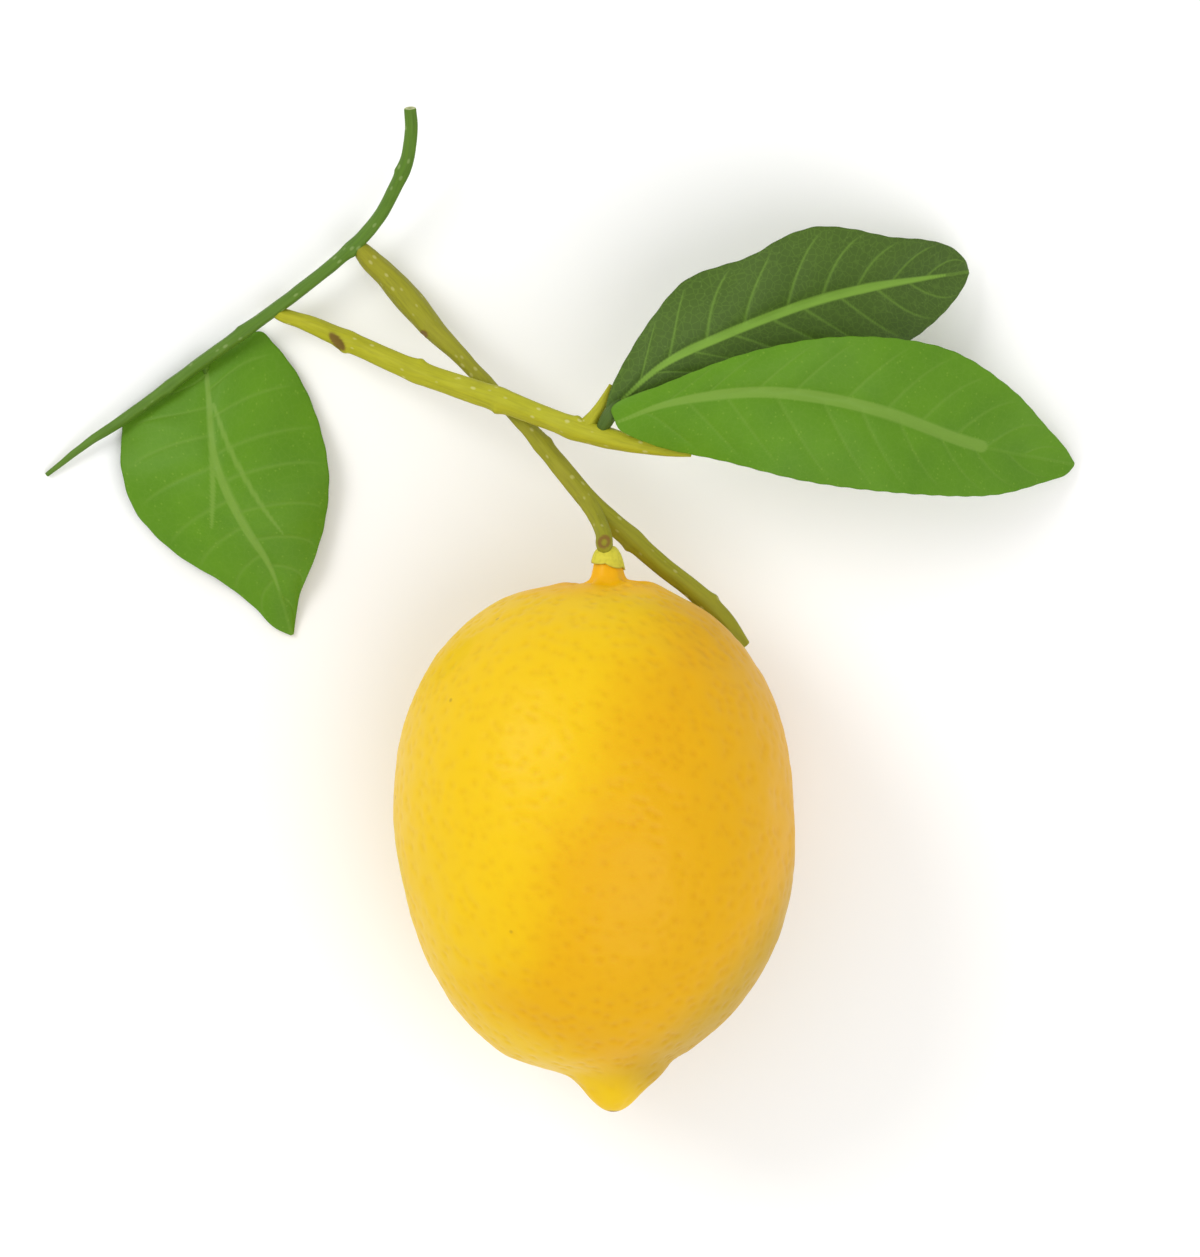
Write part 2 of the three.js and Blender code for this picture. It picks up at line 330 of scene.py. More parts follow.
def makeBark(kind):
    colours = barks[kind]
    material, tree, shader = newMaterial(kind + "CitrusBark", {
        "Roughness": colours["roughness"], "IOR": 1.45, "Specular IOR Level": 0.25,
    })
    place = addNode(tree, "ShaderNodeAttribute", {"attribute_name": "straight"}, {}).outputs["Vector"]
    marks = addNode(tree, "ShaderNodeAttribute", {"attribute_name": "marks"}, {}).outputs["Vector"]
    split = addNode(tree, "ShaderNodeSeparateXYZ", {}, {0: marks})

    stretch = addNode(tree, "ShaderNodeMapping", {"Scale": (1.0, 1.0, barkGrain["streakStretch"])},
                      {"Vector": place})
    streaks = addNode(tree, "ShaderNodeTexNoise", {
        "Scale": 1 / (barkGrain["streakWidth"] * mm), "Detail": 4.0,
    }, {"Vector": stretch.outputs[0]})
    streakShare = addNode(tree, "ShaderNodeMapRange", {"From Min": 0.4, "From Max": 0.68, "To Max": 0.75},
                          {"Value": streaks.outputs["Fac"]})
    bark = addNode(tree, "ShaderNodeMix", {
        "data_type": "RGBA", 6: hexColour(colours["skin"]), 7: hexColour(colours["streak"]),
    }, {0: streakShare.outputs["Result"]})

    clouds = addNode(tree, "ShaderNodeTexNoise", {"Scale": 1 / (barkGrain["cloudSize"] * mm), "Detail": 2.0},
                     {"Vector": place})
    cloudShare = addNode(tree, "ShaderNodeMapRange", {"From Min": 0.35, "From Max": 0.7, "To Max": 0.45},
                         {"Value": clouds.outputs["Fac"]})
    clouded = addNode(tree, "ShaderNodeMix", {"data_type": "RGBA", 7: hexColour(colours["flush"])},
                      {0: cloudShare.outputs["Result"], 6: bark.outputs[2]})

    lengthened = addNode(tree, "ShaderNodeMapping", {"Scale": (1.0, 1.0, barkGrain["poreStretch"])},
                         {"Vector": place})
    pores = addNode(tree, "ShaderNodeTexVoronoi", {"Scale": 1 / (barkGrain["poreSize"] * mm)},
                    {"Vector": lengthened.outputs[0]})
    poreShare = addNode(tree, "ShaderNodeMapRange", {"From Min": 0.2, "From Max": 0.1, "To Max": 0.7},
                        {"Value": pores.outputs["Distance"]})
    pored = addNode(tree, "ShaderNodeMix", {"data_type": "RGBA", 7: hexColour(colours["pore"])},
                    {0: poreShare.outputs["Result"], 6: clouded.outputs[2]})

    scarred = addNode(tree, "ShaderNodeMix", {"data_type": "RGBA", 7: hexColour(colours["scar"])},
                      {0: split.outputs["X"], 6: pored.outputs[2]})
    wood = addNode(tree, "ShaderNodeMix", {"data_type": "RGBA", 7: hexColour(colours["wood"])},
                   {0: split.outputs["Y"], 6: scarred.outputs[2]})
    pith = addNode(tree, "ShaderNodeMix", {"data_type": "RGBA", 7: hexColour(colours["pith"])},
                   {0: split.outputs["Z"], 6: wood.outputs[2]})
    tree.links.new(pith.outputs[2], shader.inputs["Base Color"])

    ridges = addNode(tree, "ShaderNodeMath", {"operation": "ADD"},
                     {0: streaks.outputs["Fac"], 1: poreShare.outputs["Result"]})
    bump = addNode(tree, "ShaderNodeBump", {"Strength": 0.7, "Distance": 0.09 * mm},
                   {"Height": ridges.outputs[0]})
    tree.links.new(bump.outputs["Normal"], shader.inputs["Normal"])
    return material


# Citrus leaf: a leathery blade, waxed and softly glossy on top, paler and matte below, with sunk pale veins.
leafSkins = {
    "light": {
        "blade": "#5b881a", "shade": "#54801a", "vein": "#719537", "gland": "#789c33", "under": "#809860",
    },
    # painted shade: the dark leaf's skin is a darker copy of the light one, for the leaf that lies lower,
    # behind the right leaf; only its vein stroke is not darker
    "dark": {
        "blade": "#4b6425", "shade": "#455d22", "vein": "#7fa63f", "gland": "#617c38", "under": "#7b8e5c",
    },
}
leafGrain = {"cloudSize": 9.0, "netSize": 1.0, "netShare": 0.14, "glandSize": 1.1, "glandShare": 0.45}


def makeLeafSkin(kind):
    colours = leafSkins[kind]
    material, tree, shader = newMaterial(kind + "CitrusLeaf", {
        "Roughness": 0.46, "IOR": 1.45, "Specular IOR Level": 0.16,
    })
    place = addNode(tree, "ShaderNodeAttribute", {"attribute_name": "straight"}, {}).outputs["Vector"]
    marks = addNode(tree, "ShaderNodeAttribute", {"attribute_name": "marks"}, {}).outputs["Vector"]
    split = addNode(tree, "ShaderNodeSeparateXYZ", {}, {0: marks})

    clouds = addNode(tree, "ShaderNodeTexNoise", {"Scale": 1 / (leafGrain["cloudSize"] * mm), "Detail": 4.0},
                     {"Vector": place})
    cloudShare = addNode(tree, "ShaderNodeMapRange", {"From Min": 0.35, "From Max": 0.68},
                         {"Value": clouds.outputs["Fac"]})
    blade = addNode(tree, "ShaderNodeMix", {
        "data_type": "RGBA", 6: hexColour(colours["blade"]), 7: hexColour(colours["shade"]),
    }, {0: cloudShare.outputs["Result"]})

    net = addNode(tree, "ShaderNodeTexVoronoi", {
        "feature": "DISTANCE_TO_EDGE", "Scale": 1 / (leafGrain["netSize"] * mm),
    }, {"Vector": place})
    netShare = addNode(tree, "ShaderNodeMapRange", {
        "From Min": 0.09, "From Max": 0.0, "To Max": leafGrain["netShare"],
    }, {"Value": net.outputs["Distance"]})
    netted = addNode(tree, "ShaderNodeMix", {"data_type": "RGBA", 7: hexColour(colours["vein"])},
                     {0: netShare.outputs["Result"], 6: blade.outputs[2]})

    glands = addNode(tree, "ShaderNodeTexVoronoi", {"Scale": 1 / (leafGrain["glandSize"] * mm)},
                     {"Vector": place})
    glandShare = addNode(tree, "ShaderNodeMapRange", {
        "From Min": 0.17, "From Max": 0.1, "To Max": leafGrain["glandShare"],
    }, {"Value": glands.outputs["Distance"]})
    dotted = addNode(tree, "ShaderNodeMix", {"data_type": "RGBA", 7: hexColour(colours["gland"])},
                     {0: glandShare.outputs["Result"], 6: netted.outputs[2]})

    veined = addNode(tree, "ShaderNodeMix", {"data_type": "RGBA", 7: hexColour(colours["vein"])},
                     {0: split.outputs["X"], 6: dotted.outputs[2]})
    below = addNode(tree, "ShaderNodeMix", {"data_type": "RGBA", 7: hexColour(colours["under"])},
                    {0: split.outputs["Y"], 6: veined.outputs[2]})
    tree.links.new(below.outputs[2], shader.inputs["Base Color"])

    roughness = addNode(tree, "ShaderNodeMapRange", {"To Min": 0.44, "To Max": 0.7},
                        {"Value": split.outputs["Y"]})
    tree.links.new(roughness.outputs["Result"], shader.inputs["Roughness"])
    bump = addNode(tree, "ShaderNodeBump", {"Strength": 0.35, "Distance": 0.06 * mm, "invert": True},
                   {"Height": netShare.outputs["Result"]})
    tree.links.new(bump.outputs["Normal"], shader.inputs["Normal"])
    return material


# Calyx: the dried star under the fruit's stalk, shrunk on to the neck. Matte and papery, browner at its edge.
calyxColours = {"skin": "#d1c83a", "shade": "#bab22e", "edge": "#98812f", "grainSize": 0.5}


def makeCalyxSkin():
    material, tree, shader = newMaterial("driedCalyx", {"Roughness": 0.7, "IOR": 1.4})
    place = addNode(tree, "ShaderNodeAttribute", {"attribute_name": "straight"}, {}).outputs["Vector"]
    marks = addNode(tree, "ShaderNodeAttribute", {"attribute_name": "marks"}, {}).outputs["Vector"]
    split = addNode(tree, "ShaderNodeSeparateXYZ", {}, {0: marks})
    grain = addNode(tree, "ShaderNodeTexNoise", {
        "Scale": 1 / (calyxColours["grainSize"] * mm), "Detail": 3.0,
    }, {"Vector": place})
    share = addNode(tree, "ShaderNodeMapRange", {"From Min": 0.4, "From Max": 0.7, "To Max": 0.6},
                    {"Value": grain.outputs["Fac"]})
    skin = addNode(tree, "ShaderNodeMix", {
        "data_type": "RGBA", 6: hexColour(calyxColours["skin"]), 7: hexColour(calyxColours["shade"]),
    }, {0: share.outputs["Result"]})
    edged = addNode(tree, "ShaderNodeMix", {"data_type": "RGBA", 7: hexColour(calyxColours["edge"])},
                    {0: split.outputs["X"], 6: skin.outputs[2]})
    tree.links.new(edged.outputs[2], shader.inputs["Base Color"])
    bump = addNode(tree, "ShaderNodeBump", {"Strength": 0.5, "Distance": 0.08 * mm},
                   {"Height": grain.outputs["Fac"]})
    tree.links.new(bump.outputs["Normal"], shader.inputs["Normal"])
    return material


lemon = {
    "radius": 31.25, "axisHeight": 30.5,
    "stemHalf": 37.3, "stemPower": 2.25, "tipHalf": 40.3, "tipPower": 2.04,
    "neckHeight": 5.8, "neckAngle": 3.32, "neckPower": 4.1, "neckTop": 40.2,
    "nippleHeight": 4.9, "nippleAngle": 7.1,
    "neckShift": 2.2, "nippleShift": 3.15, "shiftFull": 6.0, "shiftNone": 14.0,
    "leanTip": 0.75, "leanStem": 0.15, "leanLength": 36.0, "leanEnd": 38.0,
    # depths in mm of what runs round an end, at and over so many degrees from that end of the axis
    "furrow": 0.8, "furrowAngle": 7.0, "furrowOver": 2.3,
    "crease": 0.2, "creaseAngle": 10.5, "creaseOver": 2.6,
    "folds": 0.3, "neckFolds": 8.0, "nippleFolds": 9.0, "foldsOver": 5.0,
    "lobe": 0.25, "lobeSize": 26.0, "bump": 0.12, "bumpSize": 3.6,
    "pit": 0.2, "pitSize": 1.85, "pitWidth": 0.33, "calmFrom": 1.5, "calmTo": 7.0,
    "settle": 0.25,                       # how softly the flat spot rounds into the body
    "rings": 300, "columns": 330,
}


def lemonOutline(angle):
    # distance from the centre at an angle a from the stem end: half a superellipse for each end, which is
    # ((|cos a| / half)^p + (sin a / radius)^p)^(-1/p), and bumps for the neck, steep, and the nipple, smooth
    cosine, sine = np.cos(angle), np.sin(angle)
    half = np.where(cosine > 0, lemon["stemHalf"], lemon["tipHalf"])
    power = np.where(cosine > 0, lemon["stemPower"], lemon["tipPower"])
    body = ((np.abs(cosine) / half) ** power + (sine / lemon["radius"]) ** power) ** (-1 / power)
    fromStem = np.degrees(angle)
    neck = lemon["neckHeight"] * np.exp(-(fromStem / lemon["neckAngle"]) ** lemon["neckPower"])
    nipple = lemon["nippleHeight"] * np.exp(-((180 - fromStem) / lemon["nippleAngle"]) ** 2)
    return body + neck + nipple


def makeLemon(peel):
    # rings of the outline carried round the axis, from the nipple to the neck, in equal steps along the skin
    fine = np.linspace(np.pi - 0.002, 0.02, 6000)
    distance = lemonOutline(fine)
    capped = np.minimum(distance * np.cos(fine), lemon["neckTop"])
    outline = np.column_stack([distance * np.sin(fine), capped])
    length = np.concatenate([[0], np.cumsum(np.linalg.norm(np.diff(outline, axis=0), axis=1))])
    wanted = np.linspace(0, length[-1], lemon["rings"])
    radius = np.interp(wanted, length, outline[:, 0])[:, None]
    along = np.interp(wanted, length, outline[:, 1])[:, None]
    angle = np.degrees(np.interp(wanted, length, fine))[:, None]

    # each ring is dented by depth exp(-((its angle - at) / over)^2), mostly on its left, and pleated by sines
    # of the turn, seven folds round the neck and five round the nipple
    turn = np.linspace(0, 2 * np.pi, lemon["columns"], endpoint=False)[None, :]
    fromTip = 180 - angle
    leftness = 0.5 - 0.5 * np.cos(turn)
    furrow = np.exp(-((angle - lemon["furrowAngle"]) / lemon["furrowOver"]) ** 2)
    crease = np.exp(-((fromTip - lemon["creaseAngle"]) / lemon["creaseOver"]) ** 2)
    dip = lemon["furrow"] * (0.3 + 0.7 * leftness) * furrow + lemon["crease"] * leftness * crease
    nearNeck = np.exp(-((angle - lemon["neckFolds"]) / lemon["foldsOver"]) ** 2)
    nearNipple = np.exp(-((fromTip - lemon["nippleFolds"]) / lemon["foldsOver"]) ** 2)
    pleats = np.sin(7 * turn + 0.8 * np.sin(2 * turn)) * nearNeck + 0.6 * np.sin(5 * turn + 1.0) * nearNipple
    scale = 1 - (dip - lemon["folds"] * pleats) / np.hypot(radius, along)
    radius, along = radius * scale, along * scale

    # the ends sit off centre by shift, and the axis bows by lean sin(pi along / leanLength)
    shift = np.where(along > 0, lemon["neckShift"], lemon["nippleShift"])
    shift = shift * (1 - smoothStep(radius, lemon["shiftFull"], lemon["shiftNone"]))
    lean = np.where(along > 0, lemon["leanStem"], lemon["leanTip"])
    bowed = np.clip(along, -lemon["leanEnd"], lemon["leanEnd"])
    x = radius * np.cos(turn) + shift - lean * np.sin(np.pi * bowed / lemon["leanLength"])
    z = radius * np.sin(turn) + lemon["axisHeight"]
    rings = np.stack([x, along, z], axis=-1)

    # soft lobes and bumps stand out along the normal and each gland sinks by pit exp(-(gap / pitWidth)^2),
    # less so towards both ends. The flat spot comes from z = (z + sqrt(z^2 + settle^2)) / 2
    normal = outwardNormals(rings)
    calm = smoothStep(radius, lemon["calmFrom"], lemon["calmTo"])
    swell = lemon["lobe"] * softNoise(rings, lemon["lobeSize"], 3)
    swell = swell + lemon["bump"] * softNoise(rings, lemon["bumpSize"], 5)
    gap = cellDistance(rings, lemon["pitSize"], 8)
    pits = np.exp(-(gap / lemon["pitWidth"]) ** 2) * (0.35 + 0.65 * calm)
    rings = rings + normal * (swell * calm - lemon["pit"] * pits)[..., None]
    height = rings[..., 2]
    rings[..., 2] = (height + np.sqrt(height ** 2 + lemon["settle"] ** 2)) / 2
    marks = np.stack([pits * 0.7, 0 * pits, 0 * pits], axis=-1)
    tube = {"rings": rings, "straight": rings * mm, "marks": marks}
    addPiece("lemon_peel", "lemon", [tube], [peel])


calyx = {
    "points": 5, "foot": 39.3, "slant": 0.55, "lobeLength": 0.4, "top": 42.4,
    "footRadius": 2.65, "topRadius": 1.7, "belly": 0.1, "rounding": 0.3, "lip": 0.2,
    "rings": 40, "lipRings": 8, "columns": 160,
}


def makeCalyx(skin):
    # five blunt lobes: rings go out under the lobes, up the cone of the side, which is rounded in towards its
    # top by 1 - rounding share^6, and in over the top
    turn = np.linspace(0, 2 * np.pi, calyx["columns"], endpoint=False)[None, :]
    lobes = np.abs(np.cos(turn * calyx["points"] / 2 + 0.4)) ** 0.7
    foot = calyx["foot"] - calyx["slant"] * np.cos(turn) + calyx["lobeLength"] * (1 - lobes)
    share = np.linspace(0, 1, calyx["rings"])[:, None]
    sideRadius = calyx["footRadius"] + (calyx["topRadius"] - calyx["footRadius"]) * share
    sideRadius = (sideRadius + calyx["belly"] * np.sin(share * np.pi)) * (1 - calyx["rounding"] * share ** 6)
    sideRadius = sideRadius * (1 + 0.03 * np.cos(turn * calyx["points"]) * (1 - share))
    sideAlong = foot + (calyx["top"] - foot) * share
    outward = np.linspace(0.3, 0.94, calyx["lipRings"])[:, None]
    lip = calyx["lip"] * (1 - outward[::-1] ** 2)
    radius = np.vstack([sideRadius[:1] * outward, sideRadius, sideRadius[-1:] * outward[::-1]])
    along = np.vstack([sideAlong[:1] + 0 * outward, sideAlong, sideAlong[-1:] + lip])
    z = radius * np.sin(turn) + lemon["axisHeight"]
    rings = np.stack([radius * np.cos(turn) + lemon["neckShift"], along, z], axis=-1)
    browned = np.vstack([1 + 0 * outward, 1 - smoothStep(share, 0, 0.1), 0 * outward]) + 0 * turn
    marks = np.stack([browned * 0.5, 0 * along, 0 * along], axis=-1)
    tube = {"rings": rings, "straight": rings * mm, "marks": marks}
    addPiece("calyx_star", "calyx", [tube], [skin])


fruitingTwig = {
    "route": [
        [-36.9, 89.5, 6.5, 0.7], [-36.2, 88.7, 6.2, 1.25], [-35.3, 87.7, 6.1, 1.55], [-34.3, 86.6, 6.1, 1.7],
        [-32.2, 84.6, 6.3, 1.85], [-28.7, 80.7, 7.4, 2.15], [-26.5, 78.1, 8.4, 1.95], [-24.5, 75.8, 9.3, 1.7],
        [-21.3, 72.6, 10.8, 1.35], [-17.9, 69.0, 12.4, 1.15], [-14.5, 65.4, 14.2, 1.15],
        [-9.6, 60.1, 17, 1.3], [-4.1, 53.5, 21, 1.55], [-1.3, 50.1, 23.2, 1.6],
        [1.2, 47.5, 24.3, 1.7], [5.3, 44.1, 24, 1.6], [10.3, 39.7, 23, 1.5], [16, 35.2, 21.5, 1.5],
        [20, 31.2, 20.2, 1.6], [23, 27, 18.8, 1.4],
    ],
    "stalk": [
        [-2.6, 51.8, 22.2, 1.1], [-1.4, 50.2, 23.3, 1.45], [0.2, 47.4, 26.2, 1.3], [1.2, 45.4, 28.7, 1.2],
        [1.65, 43.9, 30.6, 1.25], [1.7, 43.0, 31.1, 1.32], [1.75, 42.3, 31.5, 1.22],
        [1.85, 41.7, 31.85, 0.95], [1.9, 41.35, 32.0, 0.65], [1.95, 41.1, 32.1, 0.3],
    ],
    "nodes": [0.33, 0.49, 0.73, 0.9],
    "scars": [
        {"at": (-26.3, 75.5), "long": 0.7, "wide": 0.42, "turn": -45, "hollow": 0.0},
        {"at": (1.66, 43.1), "long": 1.05, "wide": 0.88, "turn": 70, "hollow": 0.55},
    ],
}
leafyTwig = {
    "route": [
        [-49.9, 79.1, 5.0, 0.7], [-48.9, 78.6, 4.8, 0.95], [-47.7, 78.2, 4.6, 1.12], [-46.1, 77.7, 4.6, 1.15],
        [-43.6, 76.75, 4.9, 1.35], [-35.6, 73.2, 8.6, 1.6], [-27.4, 69.6, 13, 1.7], [-19, 66.7, 16.7, 1.85],
        [-14.8, 65.3, 18.2, 1.85], [-6.6, 62.2, 21, 1.7], [-2.4, 60.6, 22.6, 1.7], [1.9, 59.4, 23.8, 1.7],
        [6.3, 58.3, 24.3, 1.35], [10.6, 57.4, 24.2, 0.95], [15, 56.6, 23.8, 0.3],
    ],
    "spur": [[-1.2, 60.8, 23.0, 1.4], [0.9, 63.8, 23.3, 0.95], [2.6, 67.4, 23.8, 0.25]],
    "nodes": [0.18, 0.36, 0.56, 0.74],
    "scars": [{"at": (-39.8, 74.3), "long": 1.75, "wide": 0.68, "turn": -48, "hollow": 0.0}],
}
greenShoot = {
    "route": [
        [-28.5, 110.4, 13.6, 0.95], [-28.3, 107.2, 12.6, 1], [-29.1, 102.1, 10.8, 1.05],
        [-30.9, 98.1, 9.2, 1.05], [-33.4, 93.5, 7.6, 1.05], [-36.9, 89.5, 6.5, 1.05],
        [-41.5, 85.5, 5.8, 1], [-47.7, 80.7, 5.3, 1],
        [-59.7, 72, 4.5, 1], [-72.9, 62.4, 3.2, 0.85], [-78.4, 58.8, 2.2, 0.65], [-85, 53.7, 0.7, 0.38],
    ],
    "nodes": [0.12, 0.3, 0.55, 0.72],
    "scars": [],
}
stemDetail = {
    "step": 0.22, "columns": 36,          # mm between rings, and points round each ring
    "ridges": 5, "ridgeHeight": 0.04, "ridgeTwist": 5.0, "rough": 0.05, "roughSize": 0.7,
    "nodeSwell": 0.1, "nodeLength": 1.6, "budHeight": 0.18, "budWidth": 0.5,
    "scarRim": 0.16, "scarSink": 0.2,     # as shares of the scar's half width
    # the end face: each ring's distance past the stem's end in mm, and its share of the radius
    "endRings": [(0.0, 1.0), (0.1, 0.96), (0.16, 0.84), (0.12, 0.6), (0.14, 0.3), (0.18, 0.12)],
    "barkRings": 2, "pithShare": 0.4,     # rings of the end face that keep their bark, and the pith's radius
}


def scarShape(rings, normal, scar):
    # an oval on the upper side of the stem, with axes u and v, and reach = hypot(u, v), which is 1 on its
    # outline. Gives the share inside it, less its hollow middle, and the relief: a raised rim round a hollow
    a = np.radians(scar["turn"])
    dx, dy = rings[..., 0] - scar["at"][0], rings[..., 1] - scar["at"][1]
    u = (dx * np.cos(a) + dy * np.sin(a)) / scar["long"]
    v = (dy * np.cos(a) - dx * np.sin(a)) / scar["wide"]
    reach = np.hypot(u, v)
    above = smoothStep(normal[..., 2], -0.4, 0.0)
    rim = stemDetail["scarRim"] * np.exp(-((reach - 1) / 0.3) ** 2)
    rim = rim - stemDetail["scarSink"] * (1 - smoothStep(reach, 0.3, 0.95))
    middle = 1 - smoothStep(reach, scar["hollow"] * 0.7, scar["hollow"] * 1.1 + 0.01)
    inside = (1 - smoothStep(reach, 0.85, 1.2)) * (1 - 0.85 * middle * (scar["hollow"] > 0))
    return inside * above, rim * above * scar["wide"]


def nodeSwelling(nodes, distance, length, turn):
    # a ring-shaped swelling, exp(-near^2), at each node's share of the length, and a bud just past it, on
    # alternate sides
    swelling = np.zeros((len(distance), len(turn)))
    for index, node in enumerate(nodes):
        near = (distance - node * length) / stemDetail["nodeLength"]
        budTurn = np.pi * (0.12 + 0.76 * (index % 2))
        fromBud = (turn - budTurn + np.pi) % (2 * np.pi) - np.pi
        facing = np.exp(-(fromBud / stemDetail["budWidth"]) ** 2)
        bud = np.exp(-(near - 0.25) ** 2 * 7)[:, None] * facing[None, :]
        swelling += (stemDetail["nodeSwell"] * np.exp(-near ** 2))[:, None]
        swelling += stemDetail["budHeight"] * bud
    return swelling


def withEnds(middle):
    # the stem's rings and those of its two end faces: each one's centre, direction, radius, how far it is
    # shrunk, and its share of the stem's length
    centre, radius = middle[:, :3], middle[:, 3]
    forward = np.gradient(centre, axis=0)
    forward = forward / np.linalg.norm(forward, axis=1, keepdims=True)
    past, shrink = np.array(stemDetail["endRings"]).T
    count = len(past)
    startFace = centre[0] - forward[0] * past[::-1, None]
    endFace = centre[-1] + forward[-1] * past[:, None]
    centre = np.vstack([startFace, centre, endFace])
    forward = np.pad(forward, ((count, count), (0, 0)), mode="edge")
    shrink = np.concatenate([shrink[::-1], np.ones(len(radius)), shrink])
    radius = np.pad(radius, count, mode="edge") * shrink
    share = np.pad(np.linspace(0, 1, len(middle)), count, mode="edge")
    return centre, forward, radius, shrink, share


def stemTube(route, nodes, scars, seed, cutStart=False, cutEnd=False):
    # rings of the route's radius, each square to the route: radius (1 + ridges + swollen nodes) + roughness,
    # with lengthwise ridges ridgeHeight cos(ridges turn + ridgeTwist share)
    length = evenSteps(route, np.array([0.0, 1.0]))[1]
    count = max(int(length / stemDetail["step"]), 12)
    middle, length = evenSteps(route, np.linspace(0, 1, count))
    centre, forward, radius, shrink, share = withEnds(middle)
    side = np.cross(forward, upward)
    side = side / np.linalg.norm(side, axis=1, keepdims=True)
    top = np.cross(side, forward)

    turn = np.linspace(0, 2 * np.pi, stemDetail["columns"], endpoint=False)
    distance = share * length
    twist = stemDetail["ridgeTwist"] * share[:, None] + seed
    ridge = 1 + stemDetail["ridgeHeight"] * np.cos(stemDetail["ridges"] * turn[None, :] + twist)
    ridge = ridge + nodeSwelling(nodes, distance, length, turn)
    around = np.cos(turn)[None, :, None] * side[:, None, :] + np.sin(turn)[None, :, None] * top[:, None, :]
    rings = centre[:, None, :] + around * (radius[:, None] * ridge)[..., None]
    straight = np.stack([
        np.cos(turn)[None, :] * radius[:, None], np.sin(turn)[None, :] * radius[:, None],
        distance[:, None] + 0 * turn[None, :],
    ], axis=-1)
    rough = softNoise(straight * np.array([1, 1, 0.35]) + seed * 7.3, stemDetail["roughSize"], seed)
    rings = rings + around * (stemDetail["rough"] * rough * shrink[:, None])[..., None]

    scarShare = np.zeros(rings.shape[:2])
    for scar in scars:
        inside, relief = scarShape(rings, around, scar)
        scarShare = np.maximum(scarShare, inside)
        rings = rings + around * relief[..., None]
    face = len(stemDetail["endRings"]) - stemDetail["barkRings"]
    isCut = np.zeros(len(share))
    isCut[:face] = cutStart
    isCut[-face:] = cutEnd
    wood = isCut[:, None] + 0 * turn[None, :]
    pith = (isCut * (shrink < stemDetail["pithShare"]))[:, None] + 0 * turn[None, :]
    return {"rings": rings, "straight": straight * mm, "marks": np.stack([scarShare, wood, pith], axis=-1)}


def makeStems(oliveBark, youngBark, greenBark):
    main = stemTube(fruitingTwig["route"], fruitingTwig["nodes"], fruitingTwig["scars"], 1, cutEnd=True)
    stalk = stemTube(fruitingTwig["stalk"], [], fruitingTwig["scars"], 2)
    addPiece("fruiting_twig_bark", "fruiting_twig", [main, stalk], [oliveBark])
    branch = stemTube(leafyTwig["route"], leafyTwig["nodes"], leafyTwig["scars"], 3)
    spur = stemTube(leafyTwig["spur"], [], [], 4)
    addPiece("leafy_twig_bark", "leafy_twig", [branch, spur], [youngBark])
    shoot = stemTube(greenShoot["route"], greenShoot["nodes"], greenShoot["scars"], 5, cutStart=True)
    addPiece("green_shoot_bark", "green_shoot", [shoot], [greenBark])


# The midrib and both edges run from the base to the tip through [x, y, z] points. The stroke is the pale line
# along the midrib: where it starts and ends, as shares of the midrib, and its half widths in mm between them.
leafLeft = {
    "base": [-60.4, 71.4, 2.2], "tip": [-46.9, 28.7, 0.6],
    "midrib": [[-59.9, 66, 3.6], [-59, 56.8, 6.2], [-57, 51, 6.8], [-54.1, 45.3, 6.2], [-50.2, 39, 4]],
    "left": [
        [-52.2, 75.9, 1.8], [-49.8, 73.8, 1.8], [-46.3, 69.2, 2.3], [-43.2, 62.3, 2.8], [-41.4, 54, 3.2],
        [-41.9, 46.5, 3.2], [-43.8, 40, 2.8], [-45.9, 34.9, 1.8],
    ],
    "right": [
        [-67, 66.6, 1.5], [-72.9, 62.4, 1.2], [-73.1, 60.2, 1.3], [-73.3, 55.3, 2.2], [-71.5, 48.8, 2.7],
        [-68.1, 44.4, 2.8], [-63.7, 40.7, 2.7], [-57.6, 37, 2.4], [-52.8, 33.3, 1.7], [-49.4, 29.9, 1],
    ],
    "stalk": [[-60.5, 71.4, 4.2, 0.6], [-60.4, 70.5, 3.1, 0.6], [-60.3, 69.2, 2.5, 0.3]],
    "sideVeins": [
        [[-59.1, 64.5], [-57.2, 59.2], [-55, 54.5], [-51.6, 48.8], [-48.3, 44.4]],
        [[-59.6, 59], [-59.2, 52.2], [-59.4, 45.1]],
    ],
    "stroke": (0.04, 0.84), "strokeHalf": (0.35, 0.5, 0.68, 0.62, 0.2),
    "pairs": 8, "lean": 0.1, "wave": 0.5, "seed": 11,
}
leafDark = {
    "base": [1.8, 62.7, 25.4], "tip": [58.4, 85.2, 3.2],
    "midrib": [[10.8, 70.6, 26], [20.5, 75.3, 25.2], [33.4, 80.2, 21], [42.6, 82.6, 16], [50.6, 84, 9.5]],
    "left": [
        [2.9, 66.8, 26], [5.2, 71.4, 26.5], [9.2, 77.7, 27], [14.5, 83.6, 26.9], [24.3, 87.2, 25.5],
        [30, 90.4, 23.8], [34.5, 91.8, 22.3], [39.5, 91.6, 20.1], [46, 90.3, 16], [52, 89.8, 11],
        [55.7, 88.7, 7.4], [57.8, 86.8, 5],
    ],
    "right": [
        [6, 64.8, 25.4], [18, 69.1, 26], [32, 71.9, 22.5], [45, 73.2, 16.5], [49, 74.6, 13.5],
        [54.5, 79.1, 8.3], [57.6, 83.2, 4.2],
    ],
    "stalk": [
        [1.2, 60.6, 23.9, 0.9], [1.8, 61.7, 24.9, 1.1], [2.9, 63.4, 25.5, 1.1], [4.0, 65.0, 25.2, 0.7],
        [5, 66.3, 25, 0.3],
    ],
    "sideVeins": [], "stroke": (0.02, 0.93), "strokeHalf": (0.2, 0.68, 0.74, 0.7, 0.22),
    "pairs": 9, "lean": 0.1, "wave": 0.6, "seed": 12,
}
